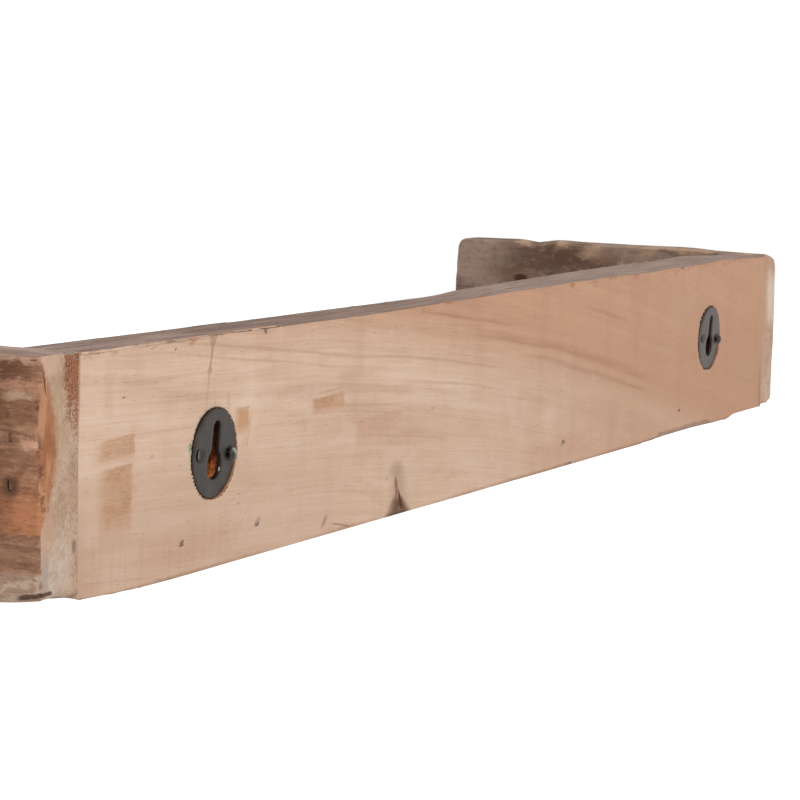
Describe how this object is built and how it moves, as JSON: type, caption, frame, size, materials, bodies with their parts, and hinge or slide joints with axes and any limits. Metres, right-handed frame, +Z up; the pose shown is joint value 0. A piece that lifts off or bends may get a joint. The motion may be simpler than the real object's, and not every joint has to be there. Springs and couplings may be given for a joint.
{
  "type": "floating wall shelf",
  "caption": "Open-topped wall shelf of reclaimed timber: back rail, side boards and bottom board nailed together, hung on wall screws by round keyhole plates sunk in the rail.",
  "frame": {"origin": "middle of the back rail's rear face, on the wall plane", "axes": "+X along the shelf, +Y towards the wall, +Z up"},
  "size_m": [0.8, 0.202, 0.0939],
  "materials": {
    "rail_timber": "planed, unfinished",
    "side_timber": "weathered, worn",
    "shelf_timber": "weathered, worn",
    "plate_steel": "blackened",
    "plate_nail_steel": "dull",
    "nail_iron": "dull, rusty"
  },
  "bodies": {
    "root": {"back_rail": "rail_timber", "left_side": "side_timber", "right_side": "side_timber", "shelf_board": "shelf_timber", "keyhole_plate_left": "plate_steel", "keyhole_plate_right": "plate_steel", "plate_nails_left": "plate_nail_steel", "plate_nails_right": "plate_nail_steel", "left_rail_nails": "nail_iron", "right_rail_nails": "nail_iron", "left_shelf_nails": "nail_iron", "right_shelf_nails": "nail_iron", "back_nails": "nail_iron"}
  },
  "joints": []
}
